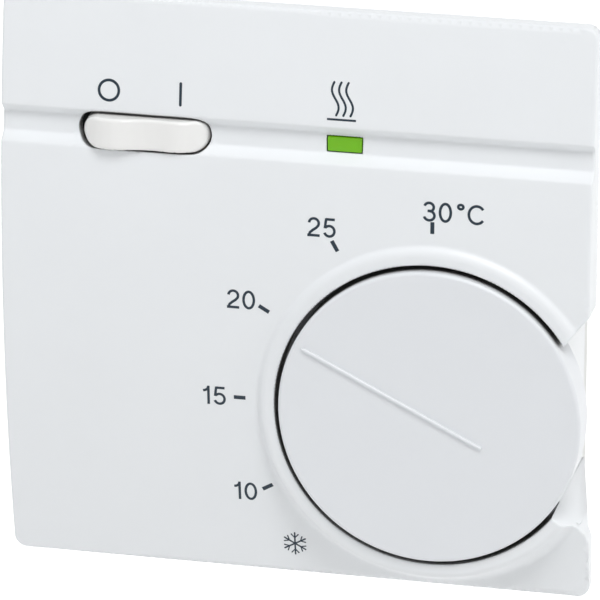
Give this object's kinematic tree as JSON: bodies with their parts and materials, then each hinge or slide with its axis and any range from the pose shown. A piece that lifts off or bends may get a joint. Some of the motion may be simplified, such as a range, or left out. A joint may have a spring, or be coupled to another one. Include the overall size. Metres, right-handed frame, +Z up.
{
  "type": "wall thermostat",
  "caption": "Surface-mounted square room thermostat with a large setting dial at its right edge, an on/off rocker and a green heating lamp in a channel across the curved front.",
  "frame": {"origin": "centre of the back face, on the wall plane", "axes": "+X right as seen from the room, +Y into the wall, +Z up; the front faces -Y"},
  "size_m": [0.075, 0.0255, 0.075],
  "materials": {
    "base_plate": "satin",
    "front_cover": "satin",
    "cover_screw": "zinc plated",
    "temperature_dial": "satin",
    "limit_ring_cold": "satin",
    "limit_ring_warm": "satin",
    "setting_spindle": "natural moulded",
    "spindle_washer": "spring steel",
    "rocker_cap": "gloss",
    "rocker_plunger": "natural moulded",
    "rocker_spring": "spring steel",
    "switch_housing": "satin",
    "switch_contact_bridge": "stamped",
    "switch_contact_on": "stamped",
    "switch_contact_centre": "stamped",
    "indicator_lens": "tinted, gloss",
    "indicator_lamp": "tinted, gloss",
    "setting_lever": "natural moulded",
    "lever_pivot_pin": "turned",
    "bimetal_strip": "rolled",
    "bimetal_rivet_1": "headed",
    "bimetal_rivet_2": "headed",
    "moving_contact": "silver",
    "fixed_contact_bracket": "stamped",
    "fixed_contact_screw": "turned",
    "contact_magnet": "ground",
    "lever_leaf_spring": "rolled",
    "feedback_resistor": "lacquered",
    "circuit_board": "laminate",
    "board_screw_1": "zinc plated",
    "board_screw_2": "zinc plated",
    "lamp_resistor": "lacquered",
    "arc_capacitor": "dipped",
    "terminal_block": "moulded",
    "switch_lead": "insulated wire",
    "terminal_screw_1": "zinc plated",
    "terminal_clamp_1": "stamped",
    "terminal_screw_2": "zinc plated",
    "terminal_clamp_2": "stamped",
    "terminal_screw_3": "zinc plated",
    "terminal_clamp_3": "stamped",
    "terminal_screw_4": "zinc plated",
    "terminal_clamp_4": "stamped",
    "terminal_screw_5": "zinc plated",
    "terminal_clamp_5": "stamped"
  },
  "bodies": {
    "base": {"base_plate": "base_plate", "lever_pivot_pin": "lever_pivot_pin", "spindle_washer": "spindle_washer", "switch_housing": "switch_housing", "switch_contact_on": "switch_contact_on", "switch_contact_centre": "switch_contact_centre", "indicator_lamp": "indicator_lamp", "fixed_contact_bracket": "fixed_contact_bracket", "fixed_contact_screw": "fixed_contact_screw", "contact_magnet": "contact_magnet", "lever_leaf_spring": "lever_leaf_spring", "feedback_resistor": "feedback_resistor", "circuit_board": "circuit_board", "board_screw_1": "board_screw_1", "board_screw_2": "board_screw_2", "lamp_resistor": "lamp_resistor", "arc_capacitor": "arc_capacitor", "terminal_block": "terminal_block", "switch_lead": "switch_lead", "terminal_screw_1": "terminal_screw_1", "terminal_screw_2": "terminal_screw_2", "terminal_screw_3": "terminal_screw_3", "terminal_screw_4": "terminal_screw_4", "terminal_screw_5": "terminal_screw_5", "terminal_clamp_1": "terminal_clamp_1", "terminal_clamp_2": "terminal_clamp_2", "terminal_clamp_3": "terminal_clamp_3", "terminal_clamp_4": "terminal_clamp_4", "terminal_clamp_5": "terminal_clamp_5"},
    "cover": {"front_cover": "front_cover", "indicator_lens": "indicator_lens", "cover_screw": "cover_screw"},
    "spindle": {"setting_spindle": "setting_spindle"},
    "dial": {"temperature_dial": "temperature_dial"},
    "cold_ring": {"limit_ring_cold": "limit_ring_cold"},
    "warm_ring": {"limit_ring_warm": "limit_ring_warm"},
    "rocker": {"rocker_cap": "rocker_cap", "rocker_plunger": "rocker_plunger", "rocker_spring": "rocker_spring"},
    "bridge": {"switch_contact_bridge": "switch_contact_bridge"},
    "lever": {"setting_lever": "setting_lever", "bimetal_rivet_1": "bimetal_rivet_1", "bimetal_rivet_2": "bimetal_rivet_2"},
    "bimetal": {"bimetal_strip": "bimetal_strip", "moving_contact": "moving_contact"}
  },
  "joints": [
    {"name": "dial_turn", "type": "hinge", "parent": "base", "child": "spindle", "pos_m": [0.0177, -0.012, -0.0131], "axis": [0, -1, 0], "range_deg": [-63.5, 86.5]},
    {"name": "lever_swing", "type": "hinge", "parent": "base", "child": "lever", "pos_m": [0.023, -0.008, 0.0055], "axis": [0, -1, 0], "range_deg": [-1.5, 2]},
    {"name": "bimetal_bend", "type": "hinge", "parent": "lever", "child": "bimetal", "pos_m": [0.0174, -0.0123, 0.00815], "axis": [0, 1, 0], "range_deg": [-2.5, 2], "stiffness_Nm_per_rad": 0.05},
    {"name": "cover_pull_off", "type": "slide", "parent": "base", "child": "cover", "axis": [0, -1, 0], "range_m": [0, 0.02]},
    {"name": "dial_pull_off", "type": "slide", "parent": "spindle", "child": "dial", "axis": [0, -1, 0], "range_m": [0, 0.04]},
    {"name": "cold_limit_turn", "type": "hinge", "parent": "dial", "child": "cold_ring", "pos_m": [0.0177, -0.0225, -0.0131], "axis": [0, -1, 0], "range_deg": [0, 75]},
    {"name": "warm_limit_turn", "type": "hinge", "parent": "dial", "child": "warm_ring", "pos_m": [0.0177, -0.0225, -0.0131], "axis": [0, -1, 0], "range_deg": [-52, 0]},
    {"name": "rocker_tilt", "type": "hinge", "parent": "base", "child": "rocker", "pos_m": [-0.0192, -0.018, 0.02065], "axis": [0, 0, -1], "range_deg": [0, 10]},
    {"name": "bridge_tilt", "type": "hinge", "parent": "base", "child": "bridge", "pos_m": [-0.0192, -0.0114, 0.02065], "axis": [0, 0, -1], "range_deg": [-8, 0]}
  ],
  "couplings": [
    {"joint": "lever_swing", "follows": "dial_turn", "ratio": 0.02},
    {"joint": "dial_pull_off", "follows": "cover_pull_off", "ratio": 2},
    {"joint": "bridge_tilt", "follows": "rocker_tilt", "ratio": -0.8}
  ]
}
